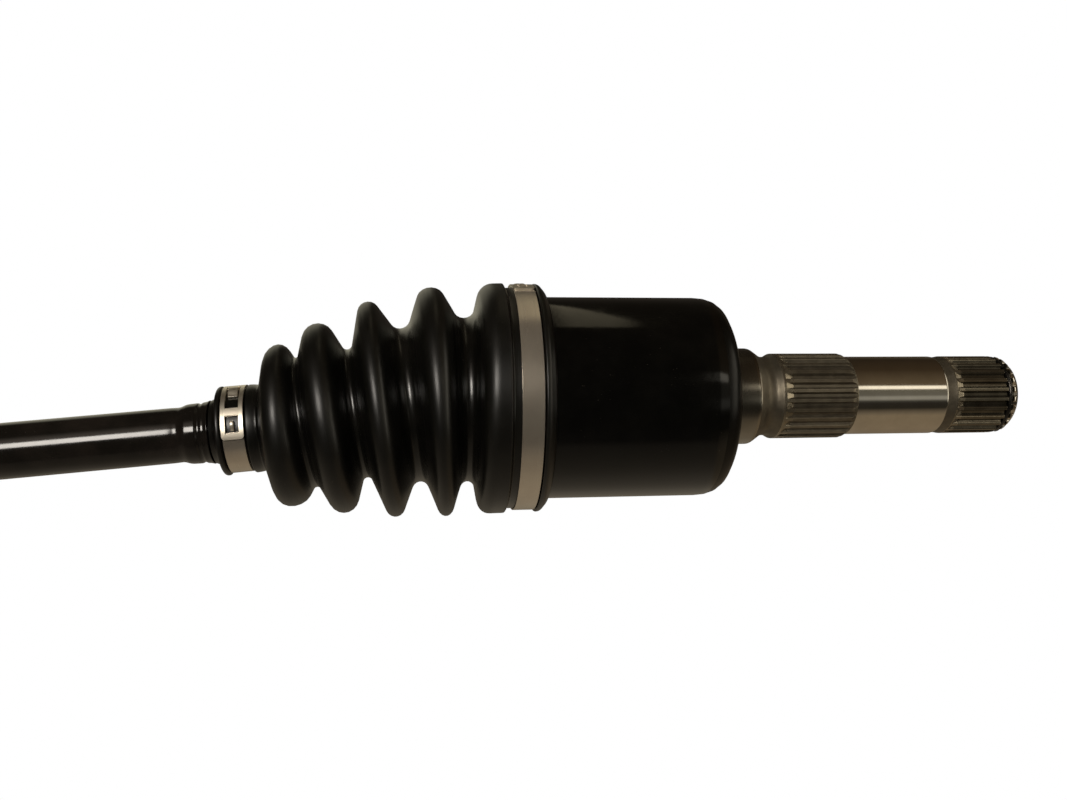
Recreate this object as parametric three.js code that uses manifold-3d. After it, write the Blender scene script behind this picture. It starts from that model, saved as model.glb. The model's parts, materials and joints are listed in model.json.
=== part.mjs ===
// Drive axle with a constant velocity joint at each end, for a light off-road vehicle.
//
// Millimetres, +Z up. The origin is the centre of the inner stub's end face, and +X points out of
// that face along the inner joint's axis. The shaft runs towards -X and droops by REST_BEND, and the
// outer joint bends back by the same angle, so that both stubs are parallel.
//
// Inner joint: a plunging six-ball joint with straight grooves. Outer joint: a fixed six-ball joint
// with arc grooves. In both, the cage lies on the plane that halves the angle between the two shafts.
// Every turned part is drawn along its own x axis, as [x, radius] points.

import * as THREE from "three";
import { mergeVertices } from "three/addons/utils/BufferGeometryUtils.js";
import Module from "manifold-3d";

const wasm = await Module();
wasm.setup();

// ---------------------------------------------------------------- driving dimensions
const DEGREE = Math.PI / 180;
const REST_BEND = 4.65 * DEGREE; // angle at each joint at rest
const JOINT_SPACING = 345; // between the two joint centres
const GAP = 0.3; // between parts that touch on the real axle

const BALLS = 6;
const BALL_RADIUS = 7.5;
const PITCH_RADIUS = 23.5; // of the ball centres
const GROOVE_PLAY = 0.15; // straight grooves
const ARC_GROOVE_PLAY = 0.6; // arc grooves: the balls wander sideways by this much at full bend
const RACE_RADIUS = 22.4;
const RACE_HALF_WIDTH = 11.5;
const CAGE_INSIDE = 22.9;
const CAGE_OUTSIDE = 27.0;
const CAGE_HALF_WIDTH = 12.5;
const WINDOW = { along: 15.3, across: 18.5 };
const CUP_BORE = 27.6;

const SHAFT_RADIUS = 9.5;
const SHAFT_SPLINE = { teeth: 16, root: 9.2, tip: 10.0 };
const SHAFT_TIP = 16; // past each joint centre
const CIRCLIP = { inside: 9.0, outside: 11.4, width: 1.4 };

// inner joint's housing, from the joint centre
const CUP_RADIUS = 36;
const CUP_MOUTH = -35;
const CUP_BACK = 43.4;
const CUP_CORNER = 7.8; // round of the cup's back edge
const BORE_DEPTH = 30; // where the bore starts to close
const BORE_FLOOR = { x: 35, radius: 18, centre: 37 };
const RETAINING_RING = { x: -31, groove: 29.4, inside: 27, outside: 28.7, width: 1.6 };
const STUB_END = 155.6;
const BOSS = { radius: 17.65, end: 55.2 };
const NECK = { radius: 14.5, from: 59.6, to: 61.5 };
const LONG_SPLINE = { teeth: 27, root: 14.5, tip: 15.7, from: 65.8, to: 92 };
const LONG_SPLINE_LAND = { from: 64.5, to: 90.4 }; // at full radius
const JOURNAL = { radius: 14.5, from: 92.2, to: 126.4 };
const RELIEF = { radius: 14.2, from: 127.2, to: 129.4 }; // between journal and end spline
const END_SPLINE = { teeth: 25, root: 13.4, tip: 14.6, from: 131.2, to: STUB_END + 1 };
const SNAP_RING = { x: 151.7, inside: 12.9, outside: 14.3, width: 1.6, groove: 12.6 };
const END_CHAMFER = { length: 3, radius: 11.8 };

// outer joint's housing, from its joint centre
const BELL_RADIUS = 37;
const BELL_MOUTH = -16;
const BELL_SHOULDER = 40;
const DOME_RADIUS = 21;
const BELL_DOME = { x: 14, end: 12 * DEGREE };
const BELL_GROOVE = { from: -56 * DEGREE, to: 40 * DEGREE };
const OUTER_RACE_GROOVE = { from: -40 * DEGREE, to: 40 * DEGREE };
const SOCKET = { from: -9, to: 22, mouth: 30.6 };
const SHOULDER_RADIUS = 20;
const SPINDLE_END = 112;
const SPINDLE_NECK = { radius: 15, to: 44.5 };
const HUB_SPLINE = { teeth: 24, root: 12.4, tip: 13.5, from: 46, to: 84 };
const THREAD = { radius: 10, relief: 9.2, from: 89.2, chamfer: 1.5 };
const COTTER_HOLE = { radius: 2, fromEnd: 8 };

const ROUND = 24; // sides of a turned part
const FINE = 8; // sides of a groove or a hole

// ---------------------------------------------------------------- materials
const finish = (color, roughness, metalness) =>
  new THREE.MeshStandardMaterial({ color, roughness, metalness, flatShading: true });
const BLACK_PAINT = finish(0x0b0a09, 0.22, 0.3);
const MACHINED = finish(0x8d867a, 0.3, 1.0);
const RUBBER = finish(0x14130f, 0.5, 0.0);
const BAND_STEEL = finish(0xa79c8a, 0.35, 1.0);
const BALL_STEEL = finish(0xc9c9c9, 0.1, 1.0);
const HARD_STEEL = finish(0x5d5a55, 0.4, 1.0);
const SPRING_STEEL = finish(0x2e2c2a, 0.35, 1.0);

// ---------------------------------------------------------------- shapes
function solidOf(geometry) {
  geometry.deleteAttribute("normal");
  geometry.deleteAttribute("uv");
  const merged = mergeVertices(geometry, 1e-4);
  return new wasm.Manifold(
    new wasm.Mesh({
      numProp: 3,
      vertProperties: merged.attributes.position.array,
      triVerts: new Uint32Array(merged.index.array),
    }),
  );
}

function geometryOf(solid) {
  const mesh = solid.getMesh();
  const geometry = new THREE.BufferGeometry();
  geometry.setAttribute("position", new THREE.BufferAttribute(mesh.vertProperties, 3));
  geometry.setIndex(new THREE.BufferAttribute(mesh.triVerts, 1));
  return geometry.toNonIndexed();
}

// A profile of [x, radius] points turned round the x axis. It runs along the outside with x rising.
function turned(profile, sides = ROUND) {
  const points = profile.map(([x, r]) => new THREE.Vector2(r, x));
  return new THREE.LatheGeometry(points, sides).rotateZ(-Math.PI / 2);
}

// A closed ring's profile: outside points with x rising, then inside points with x falling.
const ringProfile = (outside, inside) => [...outside, ...inside, outside[0]];

// A whole ring of rectangular section, centred on x.
function squareRing(inside, outside, x, width) {
  const from = x - width / 2;
  const to = x + width / 2;
  return turned(ringProfile([[from, outside], [to, outside]], [[to, inside], [from, inside]]));
}

// Points on a circle in the profile plane, centred on [x, radius], between two angles from +x.
function arcPoints([x, r], radius, from, to, steps) {
  return Array.from({ length: steps + 1 }, (_, i) => {
    const angle = from + ((to - from) * i) / steps;
    return [x + radius * Math.cos(angle), r + radius * Math.sin(angle)];
  });
}

// Points on a sphere of that radius about the joint centre, from one x to another.
function spherePoints(radius, from, to, steps) {
  const angle = (x) => Math.acos(x / radius);
  return arcPoints([0, 0], radius, angle(from), angle(to), steps);
}

// A flat shape drawn in the (-z, y) plane and pushed along x.
function pushed(shape, from, to) {
  const geometry = new THREE.ExtrudeGeometry(shape, {
    depth: to - from,
    bevelEnabled: false,
    curveSegments: ROUND,
  });
  return geometry.rotateY(Math.PI / 2).translate(from, 0, 0);
}

// A ring's outline with trapezium teeth. The shares are a tooth's width at its root and its tip.
function toothed({ teeth, root, tip }, rootShare = 0.66, tipShare = 0.34) {
  const at = (r, turn) => {
    const angle = (turn / teeth) * 2 * Math.PI;
    return new THREE.Vector2(r * Math.cos(angle), r * Math.sin(angle));
  };
  const points = [];
  for (let i = 0; i < teeth; i++)
    points.push(
      at(root, i - rootShare / 2),
      at(tip, i - tipShare / 2),
      at(tip, i + tipShare / 2),
      at(root, i + rootShare / 2),
    );
  return points;
}

// What a spline cutter takes away: everything between the teeth, out past their tips.
function splineCutter(spline, from = spline.from, to = spline.to) {
  const outside = new THREE.Shape().absarc(0, 0, spline.tip + 2, 0, 2 * Math.PI);
  outside.holes.push(new THREE.Path(toothed(spline)));
  return solidOf(pushed(outside, from, to));
}

// A sector of a flat ring, for a band or a split ring. Angles turn from +Y towards +Z.
function sector(inner, outer, from, to, start, end) {
  const shape = new THREE.Shape();
  shape.absarc(0, 0, outer, start, end, false);
  shape.absarc(0, 0, inner, end, start, true);
  const steps = Math.ceil((end - start) / (2 * Math.PI / ROUND));
  const geometry = new THREE.ExtrudeGeometry(shape, {
    depth: to - from,
    bevelEnabled: false,
    curveSegments: steps,
  });
  return geometry.rotateX(Math.PI / 2).rotateZ(Math.PI / 2).translate(from, 0, 0);
}

// A ring split by a gap of that many radians.
function splitRing({ x, inside, outside, width }, gapAngle) {
  const middle = Math.PI / 2;
  const half = gapAngle / 2;
  const turn = 2 * Math.PI;
  return sector(inside, outside, x - width / 2, x + width / 2, middle + half, middle + turn - half);
}

// Angle of a ball, its groove and its window round the joint, from +Y towards +Z.
const ballAngle = (i) => (i * 2 * Math.PI) / BALLS;

// The same cutter at each of the six ball angles. It is made for the groove at +Y.
function atEachBall(make) {
  return Array.from({ length: BALLS }, (_, i) => solidOf(make().rotateX(ballAngle(i))));
}

// The corners of a many-sided groove whose flats clear the balls by the play.
const grooveRadius = (play) => (BALL_RADIUS + play) / Math.cos(Math.PI / FINE);

function straightGroove(from, to) {
  const radius = grooveRadius(GROOVE_PLAY);
  return () =>
    new THREE.CylinderGeometry(radius, radius, to - from, FINE)
      .rotateZ(-Math.PI / 2)
      .translate((from + to) / 2, PITCH_RADIUS, 0);
}

class GrooveArc extends THREE.Curve {
  constructor(from, to) {
    super();
    this.from = from;
    this.to = to;
  }
  getPoint(t) {
    const lean = this.from + (this.to - this.from) * t;
    return new THREE.Vector3(PITCH_RADIUS * Math.sin(lean), PITCH_RADIUS * Math.cos(lean), 0);
  }
}

function arcGroove({ from, to }) {
  const circle = new THREE.Shape().absarc(0, 0, grooveRadius(ARC_GROOVE_PLAY), 0, 2 * Math.PI);
  return () =>
    new THREE.ExtrudeGeometry(circle, {
      steps: 4,
      curveSegments: FINE,
      extrudePath: new GrooveArc(from, to),
    });
}

const cutAll = (solid, cutters) => cutters.reduce((left, cutter) => left.subtract(cutter), solid);

// ---------------------------------------------------------------- joint parts
function raceSolid(grooves) {
  const blank = turned([
    [-RACE_HALF_WIDTH, 0],
    ...spherePoints(RACE_RADIUS, -RACE_HALF_WIDTH, RACE_HALF_WIDTH, 4),
    [RACE_HALF_WIDTH, 0],
  ]);
  const { teeth, root, tip } = SHAFT_SPLINE;
  const hole = new THREE.Shape(toothed({ teeth, root: root + GAP, tip: tip + GAP }, 0.86, 0.56));
  const bore = solidOf(pushed(hole, -RACE_HALF_WIDTH - 1, RACE_HALF_WIDTH + 1));
  return cutAll(solidOf(blank).subtract(bore), grooves);
}

function cageSolid() {
  const w = CAGE_HALF_WIDTH;
  const shell = turned(
    ringProfile(spherePoints(CAGE_OUTSIDE, -w, w, 4), spherePoints(CAGE_INSIDE, w, -w, 4)),
  );
  const window = () =>
    new THREE.BoxGeometry(WINDOW.along, 2 * CAGE_HALF_WIDTH, WINDOW.across).translate(0, PITCH_RADIUS, 0);
  return cutAll(solidOf(shell), atEachBall(window));
}

const ballGeometry = () => new THREE.IcosahedronGeometry(BALL_RADIUS, 1);

// A clamp's windows and hooks, in shares of the band's width and of a window's arc.
const WINDOW_HALF_WIDTH = 0.26;
const WINDOW_STARTS = [0.6, 2.4];
const HOOK = { halfWidth: 0.16, from: 0.55, to: 0.9 };

// A band clamp: the band, its overlapping tail, two windows in the tail and the hooks that show in
// them. Angles turn from +Y towards +Z, and the tail runs from its free end at tailFrom.
function bandClamp({ x, width, inside, outside, tailFrom, tailArc, windowArc }) {
  const thick = outside - inside;
  const part = (low, high, halfWidth, start, end) =>
    solidOf(sector(low, high, x - halfWidth * width, x + halfWidth * width, start, end));
  const band = solidOf(squareRing(inside, outside, x, width));
  const overlap = part(outside - thick / 2, outside + thick, 0.5, tailFrom, tailFrom + tailArc);
  let clamp = band.add(overlap);
  for (const share of WINDOW_STARTS) {
    const start = tailFrom + share * windowArc;
    const hookFrom = start + HOOK.from * windowArc;
    const hookTo = start + HOOK.to * windowArc;
    const floor = outside + 0.05;
    clamp = clamp
      .subtract(part(floor, outside + 3 * thick, WINDOW_HALF_WIDTH, start, start + windowArc))
      .add(part(outside - thick / 2, outside + 1.5 * thick, HOOK.halfWidth, hookFrom, hookTo));
  }
  return clamp;
}

// ---------------------------------------------------------------- boots
const CREST_HALF_WIDTH = 1.8;
const WALL = 2;

// The outside of the folds. The turns run root, crest, root and so on, and each crest is a narrow flat.
const folds = (turns) =>
  turns.flatMap(([x, r], i) =>
    i % 2 ? [[x - CREST_HALF_WIDTH, r], [x + CREST_HALF_WIDTH, r]] : [[x, r]],
  );

// A boot bent between the shaft (x below bendFrom) and the housing (x above bendTo). The shaft end
// turns by bend round the joint centre, and the share of that turn falls smoothly between the two.
function bootGeometry({ cuff, turns, collar, collarBore, bendFrom, bendTo, bend }) {
  const outside = [...cuff, ...folds(turns), ...collar];
  const last = collar[collar.length - 1];
  const inside = folds(turns).slice(1, -2).map(([x, r]) => [x, r - WALL]).reverse();
  const mouth = [[last[0], collarBore], [turns[turns.length - 1][0] + WALL, collarBore]];
  const throat = [[turns[0][0], CUFF_BORE], [cuff[0][0], CUFF_BORE]];
  const geometry = turned(ringProfile(outside, [...mouth, ...inside, ...throat]));
  const place = geometry.attributes.position;
  const point = new THREE.Vector3();
  const hinge = new THREE.Vector3(0, 1, 0);
  for (let i = 0; i < place.count; i++) {
    point.fromBufferAttribute(place, i);
    const along = THREE.MathUtils.smoothstep(point.x, bendFrom, bendTo);
    point.applyAxisAngle(hinge, bend * (1 - along));
    place.setXYZ(i, point.x, point.y, point.z);
  }
  return geometry;
}

const CUFF_BORE = SHAFT_RADIUS + GAP;
const CUFF = [
  [-135, 11.2], [-132.8, 11.6], [-132, 15.4], [-130.5, 15.4],
  [-130.3, 13.9], [-122.2, 13.9], [-122, 15.2], [-119.6, 15.2],
];
const OUTER_CUFF_SHIFT = 18.8; // the outer boot is this much shorter

const INNER_BOOT = {
  cuff: CUFF,
  turns: [
    [-118.8, 15], [-110.6, 28.3], [-103.6, 22.8], [-95, 33.4], [-86, 22.7],
    [-77.4, 38], [-67.6, 27.2], [-57.9, 40.4], [-48.2, 29], [-39.6, 40.8],
  ],
  collar: [
    [-35.6, 40.8], [-34.6, 39.2], [-24.4, 39.2], [-24.2, 40.8], [-22.2, 40.8], [-19.9, 37],
  ],
  collarBore: CUP_RADIUS + GAP,
  bendFrom: -116,
  bendTo: -36,
  bend: -REST_BEND,
};

const OUTER_BOOT = {
  cuff: CUFF.map(([x, r]) => [x + OUTER_CUFF_SHIFT, r]),
  turns: [
    [-100, 15], [-92, 26.6], [-85.5, 20.8], [-78.5, 30.6], [-71.5, 22.8], [-64, 34.2],
    [-56.5, 25.8], [-49, 37.3], [-41.5, 28.8], [-34, 39.8], [-27, 31.6], [-20.2, 41.9],
  ],
  collar: [
    [-17.6, 41.9], [-17, 40.2], [-6.8, 40.2], [-6.6, 41.9], [-4.6, 41.9], [-2.4, 38],
  ],
  collarBore: BELL_RADIUS + GAP,
  bendFrom: -98,
  bendTo: -21,
  bend: REST_BEND,
};

// ---------------------------------------------------------------- clamps
const INNER_LARGE_CLAMP = {
  x: -28.45, width: 7.5, inside: 39.5, outside: 40.4,
  tailFrom: 70 * DEGREE, tailArc: 48 * DEGREE, windowArc: 9 * DEGREE,
};
const INNER_SMALL_CLAMP = {
  x: -126.25, width: 7.3, inside: 14.2, outside: 14.9,
  tailFrom: 85 * DEGREE, tailArc: 110 * DEGREE, windowArc: 20 * DEGREE,
};
const OUTER_LARGE_CLAMP = { ...INNER_LARGE_CLAMP, x: -11.9, inside: 40.5, outside: 41.4 };
const OUTER_SMALL_CLAMP = { ...INNER_SMALL_CLAMP, x: -107.45 };

// ---------------------------------------------------------------- inner housing
// The cup's outline from its mouth to the boss behind it.
const cupOutline = [
  [CUP_MOUTH, 0],
  [CUP_MOUTH, CUP_RADIUS - 1],
  [CUP_MOUTH + 1, CUP_RADIUS],
  ...arcPoints([CUP_BACK - CUP_CORNER, CUP_RADIUS - CUP_CORNER], CUP_CORNER, Math.PI / 2, 0, 3),
  [CUP_BACK, BOSS.radius + 0.8],
  [CUP_BACK + 0.8, BOSS.radius],
];

// The stub's outline from the boss to the end face.
const stubOutline = [
  [BOSS.end, BOSS.radius],
  [NECK.from, NECK.radius],
  [NECK.to, NECK.radius],
  [LONG_SPLINE_LAND.from, LONG_SPLINE.tip],
  [LONG_SPLINE_LAND.to, LONG_SPLINE.tip],
  [JOURNAL.from, JOURNAL.radius],
  [JOURNAL.to, JOURNAL.radius],
  [RELIEF.from, RELIEF.radius],
  [RELIEF.to, RELIEF.radius],
  [END_SPLINE.from - 0.8, END_SPLINE.tip],
  [STUB_END - END_CHAMFER.length, END_SPLINE.tip],
  [STUB_END, END_CHAMFER.radius],
  [STUB_END, 0],
];

// The cup's bore, with the wire ring's groove just inside the mouth.
function innerBore() {
  const half = RETAINING_RING.width / 2 + GAP;
  const { x, groove } = RETAINING_RING;
  return turned([
    [CUP_MOUTH - 1, 0],
    [CUP_MOUTH - 1, CUP_BORE + 1.4],
    [CUP_MOUTH + 0.6, CUP_BORE],
    [x - half, CUP_BORE],
    [x - half, groove],
    [x + half, groove],
    [x + half, CUP_BORE],
    [BORE_DEPTH, CUP_BORE],
    [BORE_FLOOR.x, BORE_FLOOR.radius],
    [BORE_FLOOR.centre, 0],
  ]);
}

function innerHousing() {
  const { x, width, groove } = SNAP_RING;
  return cutAll(solidOf(turned([...cupOutline, ...stubOutline])), [
    solidOf(innerBore()),
    ...atEachBall(straightGroove(CUP_MOUTH - 1, BORE_DEPTH + 1)),
    splineCutter(LONG_SPLINE),
    splineCutter(END_SPLINE),
    solidOf(squareRing(groove, END_SPLINE.tip + 2, x, width + 2 * GAP)),
  ]);
}

// ---------------------------------------------------------------- outer housing
// The bell's outline, then the spindle's, from the mouth to the threaded end.
const outerOutline = [
  [BELL_MOUTH, 0],
  [BELL_MOUTH, BELL_RADIUS - 1],
  [BELL_MOUTH + 1, BELL_RADIUS],
  ...arcPoints([BELL_DOME.x, BELL_RADIUS - DOME_RADIUS], DOME_RADIUS, Math.PI / 2, BELL_DOME.end, 6),
  [BELL_SHOULDER - 4, SHOULDER_RADIUS],
  [BELL_SHOULDER, SHOULDER_RADIUS],
  [BELL_SHOULDER, SPINDLE_NECK.radius],
  [SPINDLE_NECK.to, SPINDLE_NECK.radius],
  [HUB_SPLINE.from, HUB_SPLINE.tip],
  [HUB_SPLINE.to, HUB_SPLINE.tip],
  [HUB_SPLINE.to + 2, THREAD.relief],
  [THREAD.from - 0.8, THREAD.relief],
  [THREAD.from, THREAD.radius],
  [SPINDLE_END - THREAD.chamfer, THREAD.radius],
  [SPINDLE_END, THREAD.radius - THREAD.chamfer],
  [SPINDLE_END, 0],
];

function outerHousing() {
  const socket = turned([
    [BELL_MOUTH - 1, 0],
    [BELL_MOUTH - 1, SOCKET.mouth],
    ...spherePoints(CUP_BORE, SOCKET.from, SOCKET.to, 6),
    [SOCKET.to, 0],
  ]);
  const { radius, fromEnd } = COTTER_HOLE;
  const cotterHole = new THREE.CylinderGeometry(radius, radius, 4 * THREAD.radius, FINE)
    .rotateX(Math.PI / 2)
    .translate(SPINDLE_END - fromEnd, 0, 0);
  return cutAll(solidOf(turned(outerOutline)), [
    solidOf(socket),
    ...atEachBall(arcGroove(BELL_GROOVE)),
    splineCutter(HUB_SPLINE),
    solidOf(cotterHole),
  ]);
}

// ---------------------------------------------------------------- shaft
const FRONT_CLIP_AT = RACE_HALF_WIDTH + GAP + CIRCLIP.width / 2;
const STEP = { radius: 11.6, to: -12.4 }; // the outer race rests on this step
const stepOutline = [
  [-SHAFT_TIP, SHAFT_RADIUS],
  [-SHAFT_TIP + 1, STEP.radius],
  [STEP.to, STEP.radius],
];
const COLLAR = { low: 10.3, high: 10.5, groove: 10.05, end: 11 };

// The raised, grooved collar beside a boot's cuff, up to the cuff's edge at seat.
const collarOutline = (seat) => [
  [seat - 12, SHAFT_RADIUS],
  [seat - 8, COLLAR.low],
  [seat - 4.6, COLLAR.low],
  [seat - 4.2, COLLAR.groove],
  [seat - 3.2, COLLAR.groove],
  [seat - 2.8, COLLAR.high],
  [seat - 1.4, COLLAR.end],
  [seat - 0.4, COLLAR.end],
  [seat - 0.3, SHAFT_RADIUS],
];

// One end of the shaft from its joint centre outwards along +x, as [x, radius] points.
function shaftEnd(seat, withStopRing) {
  const { root, tip } = SHAFT_SPLINE;
  const half = CIRCLIP.width / 2 + 0.2;
  const floor = CIRCLIP.inside - GAP;
  const groove = (x) => [[x - half, tip], [x - half, floor], [x + half, floor], [x + half, tip]];
  const stop = withStopRing
    ? [[-SHAFT_TIP - 1, root], [-SHAFT_TIP, tip], ...groove(-FRONT_CLIP_AT)]
    : [...stepOutline, [STEP.to + 0.2, tip]];
  return [
    ...collarOutline(seat),
    ...stop,
    ...groove(FRONT_CLIP_AT),
    [SHAFT_TIP - 1, tip],
    [SHAFT_TIP, tip - 1],
    [SHAFT_TIP, 0],
  ];
}

function axleShaft() {
  const inner = shaftEnd(INNER_BOOT.cuff[0][0], true);
  const outer = shaftEnd(OUTER_BOOT.cuff[0][0], false)
    .map(([x, r]) => [-JOINT_SPACING - x, r])
    .reverse();
  const reach = SHAFT_TIP + 1;
  const teethFrom = RACE_HALF_WIDTH + GAP;
  return cutAll(solidOf(turned([...outer, ...inner])), [
    splineCutter(SHAFT_SPLINE, -teethFrom, reach),
    splineCutter(SHAFT_SPLINE, -JOINT_SPACING - reach, -JOINT_SPACING + teethFrom),
  ]);
}

// ---------------------------------------------------------------- assembly
// Groups carry the frames: inner joint, shaft, outer joint, and each cage halfway between.
function frame(parent, x, turnY = 0, turnZ = 0) {
  const group = new THREE.Group();
  group.position.x = x;
  group.rotation.set(0, turnY, turnZ);
  parent.add(group);
  return group;
}

function place(parent, name, shape, material) {
  const geometry = shape.isBufferGeometry ? shape : geometryOf(shape);
  const mesh = new THREE.Mesh(geometry, material);
  mesh.name = name;
  parent.add(mesh);
  return mesh;
}

const axle = new THREE.Group();
const innerFrame = frame(axle, -STUB_END);
const innerCageFrame = frame(innerFrame, 0, -REST_BEND / 2);
const shaftFrame = frame(innerFrame, 0, -REST_BEND);
const outerFrame = frame(shaftFrame, -JOINT_SPACING, REST_BEND, Math.PI);
const outerCageFrame = frame(shaftFrame, -JOINT_SPACING, REST_BEND / 2, Math.PI);
const outerRaceFrame = frame(shaftFrame, -JOINT_SPACING, 0, Math.PI);

const circlip = (x) => splitRing({ ...CIRCLIP, x }, 40 * DEGREE);

place(innerFrame, "inner_joint_housing", innerHousing(), BLACK_PAINT);
place(innerFrame, "stub_snap_ring", splitRing(SNAP_RING, 24 * DEGREE), SPRING_STEEL);
place(innerFrame, "inner_retaining_ring", splitRing(RETAINING_RING, 17 * DEGREE), SPRING_STEEL);
place(innerFrame, "inner_boot", bootGeometry(INNER_BOOT), RUBBER);
place(innerFrame, "inner_boot_large_clamp", bandClamp(INNER_LARGE_CLAMP), BAND_STEEL);
place(shaftFrame, "inner_boot_small_clamp", bandClamp(INNER_SMALL_CLAMP), BAND_STEEL);

place(innerCageFrame, "inner_cage", cageSolid(), HARD_STEEL);
for (let i = 0; i < BALLS; i++) {
  const ball = place(innerFrame, `inner_ball_${i + 1}`, ballGeometry(), BALL_STEEL);
  const y = PITCH_RADIUS * Math.cos(ballAngle(i));
  const z = PITCH_RADIUS * Math.sin(ballAngle(i));
  ball.position.set(-z * Math.tan(REST_BEND / 2), y, z);
}

const throughRace = [-RACE_HALF_WIDTH - 1, RACE_HALF_WIDTH + 1];
place(shaftFrame, "inner_race", raceSolid(atEachBall(straightGroove(...throughRace))), HARD_STEEL);
place(shaftFrame, "inner_race_circlip", circlip(FRONT_CLIP_AT), SPRING_STEEL);
place(shaftFrame, "inner_race_stop_ring", circlip(-FRONT_CLIP_AT), SPRING_STEEL);
place(shaftFrame, "axle_shaft", axleShaft(), BLACK_PAINT);

place(outerRaceFrame, "outer_race", raceSolid(atEachBall(arcGroove(OUTER_RACE_GROOVE))), HARD_STEEL);
place(outerRaceFrame, "outer_race_circlip", circlip(FRONT_CLIP_AT), SPRING_STEEL);
place(outerRaceFrame, "outer_boot_small_clamp", bandClamp(OUTER_SMALL_CLAMP), BAND_STEEL);
place(outerCageFrame, "outer_cage", cageSolid(), HARD_STEEL);
for (let i = 0; i < BALLS; i++) {
  const ball = place(outerCageFrame, `outer_ball_${i + 1}`, ballGeometry(), BALL_STEEL);
  ball.position.set(0, PITCH_RADIUS * Math.cos(ballAngle(i)), PITCH_RADIUS * Math.sin(ballAngle(i)));
}
place(outerFrame, "outer_boot", bootGeometry(OUTER_BOOT), RUBBER);
place(outerFrame, "outer_boot_large_clamp", bandClamp(OUTER_LARGE_CLAMP), BAND_STEEL);
place(outerFrame, "outer_joint_housing", outerHousing(), BLACK_PAINT);

export default axle;
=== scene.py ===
import functools
import json
import math

import bpy
import numpy as np
from mathutils import Matrix, Vector


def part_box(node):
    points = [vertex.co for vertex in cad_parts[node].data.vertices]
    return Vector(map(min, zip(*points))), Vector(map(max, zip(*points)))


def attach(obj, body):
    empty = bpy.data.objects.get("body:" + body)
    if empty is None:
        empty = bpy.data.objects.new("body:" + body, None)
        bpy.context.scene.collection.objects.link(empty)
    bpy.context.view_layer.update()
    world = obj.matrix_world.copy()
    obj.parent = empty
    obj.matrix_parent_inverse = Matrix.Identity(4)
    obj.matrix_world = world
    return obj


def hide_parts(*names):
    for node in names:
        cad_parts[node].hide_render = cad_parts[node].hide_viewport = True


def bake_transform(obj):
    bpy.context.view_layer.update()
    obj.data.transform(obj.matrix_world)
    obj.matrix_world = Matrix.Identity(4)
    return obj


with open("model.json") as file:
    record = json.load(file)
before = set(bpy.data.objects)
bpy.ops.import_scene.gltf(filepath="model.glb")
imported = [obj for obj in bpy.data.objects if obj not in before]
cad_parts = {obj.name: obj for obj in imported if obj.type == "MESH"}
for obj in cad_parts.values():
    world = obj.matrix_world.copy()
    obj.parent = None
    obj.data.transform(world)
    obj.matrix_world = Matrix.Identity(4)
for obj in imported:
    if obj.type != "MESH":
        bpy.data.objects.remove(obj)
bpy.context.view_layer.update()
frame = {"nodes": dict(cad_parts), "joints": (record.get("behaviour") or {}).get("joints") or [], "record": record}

# A drive axle with a constant velocity joint at each end. Lengths are millimetres in each part's own
# frame, whose x axis is the part's axis, and MM turns them into the row frame's metres.

MM = 0.001
joint_at = {j["name"]: Vector(j["pos_m"]) for j in frame["joints"] if "pos_m" in j}
INNER_CENTRE = joint_at["inner_articulation"]
OUTER_CENTRE = joint_at["outer_articulation"]
BEND = math.atan2(INNER_CENTRE.z - OUTER_CENTRE.z, INNER_CENTRE.x - OUTER_CENTRE.x)
JOINT_SPACING = (INNER_CENTRE - OUTER_CENTRE).length / MM

HALF_TURN = Matrix.Rotation(math.pi, 4, "Z")
INNER = Matrix.Translation(INNER_CENTRE)
OUTER = Matrix.Translation(OUTER_CENTRE) @ HALF_TURN
SHAFT = INNER @ Matrix.Rotation(-BEND, 4, "Y")
SHAFT_OUTER_END = Matrix.Translation(OUTER_CENTRE) @ Matrix.Rotation(-BEND, 4, "Y") @ HALF_TURN


# -------- outlines
CORNER_STEPS = 5
LONGEST_REACH = 0.48  # as a share of the segment beside a corner


def rounded(corners):
    """A polyline of (x, radius) or (x, radius, reach), with each corner that has a reach rounded off."""
    points = [np.array(c[:2], float) for c in corners]
    out = []
    for i, corner in enumerate(corners):
        reach = corner[2] if len(corner) > 2 else 0
        if not reach or i in (0, len(corners) - 1):
            out.append(points[i])
            continue
        before, here, after = points[i - 1], points[i], points[i + 1]
        start = here + (before - here) * min(LONGEST_REACH, reach / np.linalg.norm(before - here))
        end = here + (after - here) * min(LONGEST_REACH, reach / np.linalg.norm(after - here))
        for t in np.linspace(0, 1, CORNER_STEPS + 1):
            out.append((1 - t) ** 2 * start + 2 * t * (1 - t) * here + t**2 * end)
    return np.array(out)


def stations(outline, step):
    """The outline with its long straight runs cut into steps."""
    out = [outline[0]]
    for a, b in zip(outline[:-1], outline[1:]):
        count = max(1, int(math.ceil(abs(b[0] - a[0]) / step)))
        for k in range(1, count + 1):
            out.append(a + (b - a) * k / count)
    return np.array(out)


def even_angles(count):
    return np.arange(count) * 2 * math.pi / count


def smooth(t):
    """A smooth step from 0 to 1, as t goes from 0 to 1."""
    t = np.clip(t, 0, 1)
    return t * t * (3 - 2 * t)


# -------- meshes
SIDES = 160  # of a turned piece
WIDE_SIDES = 192  # of the widest ones
SHARP = 32  # edges that bend by more than this many degrees stay sharp
TOOTH_SHARP = 20
BEVEL_ANGLE = 40


def added(name, data):
    """A new object in the scene."""
    obj = bpy.data.objects.new(name, data)
    bpy.context.scene.collection.objects.link(obj)
    return obj


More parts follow.
